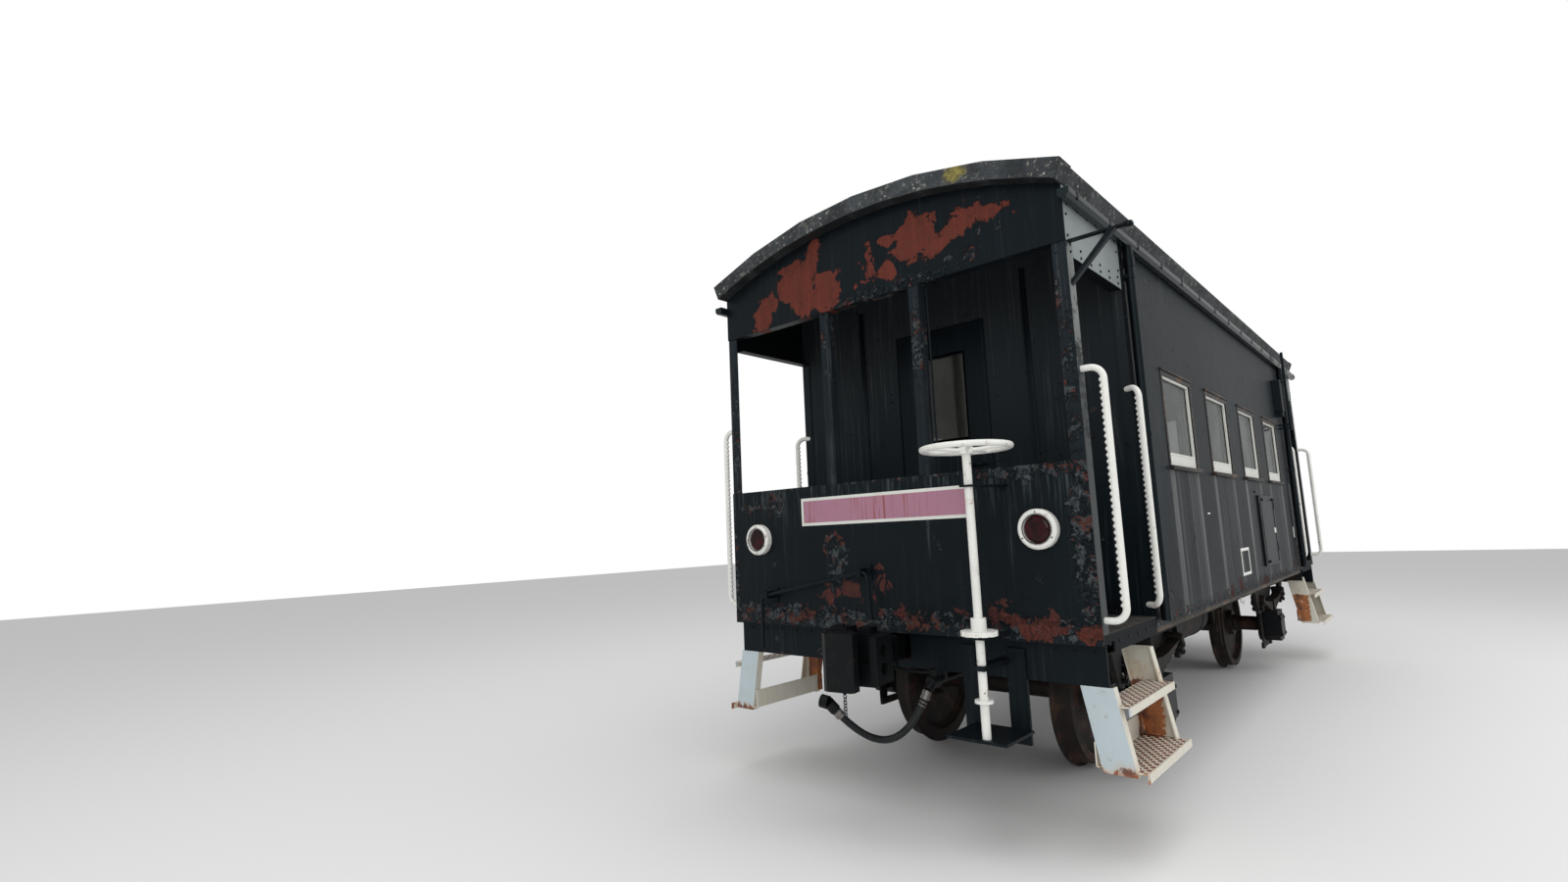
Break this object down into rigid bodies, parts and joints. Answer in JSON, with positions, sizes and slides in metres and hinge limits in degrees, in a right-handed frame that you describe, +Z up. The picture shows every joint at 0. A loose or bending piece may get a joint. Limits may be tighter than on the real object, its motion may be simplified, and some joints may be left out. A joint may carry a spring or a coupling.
{
  "type": "caboose",
  "caption": "Short rigid-axle caboose with an open platform, steps and handbrake at either end, hinged end doors and a low arched roof.",
  "frame": {"origin": "on the plane that the wheel flanges touch, under the middle of the car", "axes": "+Y along the car towards its rear end, +X to its right side as seen from the front end, +Z up"},
  "size_m": [2.992, 7.8582, 3.707],
  "materials": {
    "black_paint": "weathered gloss",
    "roof_paint": "chalky, lichen spotted",
    "white_paint": "worn satin",
    "cream_paint": "worn satin",
    "underframe_paint": "rusty matt",
    "wheel_steel": "rolled tread, rusty web",
    "cast_iron": "rusty matt",
    "glass": "clear, dusty",
    "red_lens": "dusty gloss",
    "hose_rubber": "matt",
    "bench_wood": "varnished"
  },
  "bodies": {
    "car": {"air_tank": "underframe_paint", "axle_boxes": "cast_iron", "axle_guards": "underframe_paint", "brake_beams": "underframe_paint", "brake_cylinder": "cast_iron", "brake_pipe": "cast_iron", "cabin_benches": "bench_wood", "cabin_floor": "black_paint", "chimney": "cast_iron", "cross_bearers": "underframe_paint", "downspouts": "black_paint", "end_beams": "black_paint", "end_posts": "black_paint", "front_brake_hose": "hose_rubber", "front_bulkhead": "black_paint", "front_coupler": "cast_iron", "front_end_panel": "black_paint", "front_fascia": "black_paint", "front_handbrake": "white_paint", "front_hose_coupling": "cast_iron", "front_left_step": "white_paint", "front_platform_floor": "black_paint", "front_right_step": "white_paint", "gutters": "black_paint", "handbrake_brackets": "black_paint", "handrails": "white_paint", "lamp_brackets": "white_paint", "leaf_springs": "underframe_paint", "left_side_wall": "black_paint", "platform_headers": "black_paint", "rear_brake_hose": "hose_rubber", "rear_bulkhead": "black_paint", "rear_coupler": "cast_iron", "rear_end_panel": "black_paint", "rear_fascia": "black_paint", "rear_handbrake": "white_paint", "rear_hose_coupling": "cast_iron", "rear_left_step": "white_paint", "rear_platform_floor": "black_paint", "rear_right_step": "white_paint", "right_side_wall": "black_paint", "roof": "roof_paint", "side_covers": "black_paint", "side_fittings": "white_paint", "spring_hangers": "underframe_paint", "stove": "cast_iron", "tail_lamp_lenses": "red_lens", "tail_lamp_rims": "white_paint", "uncoupling_levers": "black_paint", "underframe": "underframe_paint", "window_frames": "cream_paint", "window_panes": "glass"},
    "front_wheelset": {"front_wheels": "wheel_steel", "front_axle": "wheel_steel"},
    "rear_wheelset": {"rear_wheels": "wheel_steel", "rear_axle": "wheel_steel"},
    "front_door": {"front_door": "black_paint", "front_door_pane": "glass"},
    "rear_door": {"rear_door": "black_paint", "rear_door_pane": "glass"}
  },
  "joints": [
    {"name": "front_wheelset_roll", "type": "hinge", "parent": "car", "child": "front_wheelset", "pos_m": [0, -1.95, 0.457], "axis": [1, 0, 0], "continuous": true},
    {"name": "rear_wheelset_roll", "type": "hinge", "parent": "car", "child": "rear_wheelset", "pos_m": [0, 1.95, 0.457], "axis": [1, 0, 0], "continuous": true},
    {"name": "front_door_hinge", "type": "hinge", "parent": "car", "child": "front_door", "pos_m": [-0.333, -2.492, 1.95], "axis": [0, 0, 1], "range_deg": [0, 95]},
    {"name": "rear_door_hinge", "type": "hinge", "parent": "car", "child": "rear_door", "pos_m": [0.333, 2.492, 1.95], "axis": [0, 0, 1], "range_deg": [0, 95]}
  ]
}
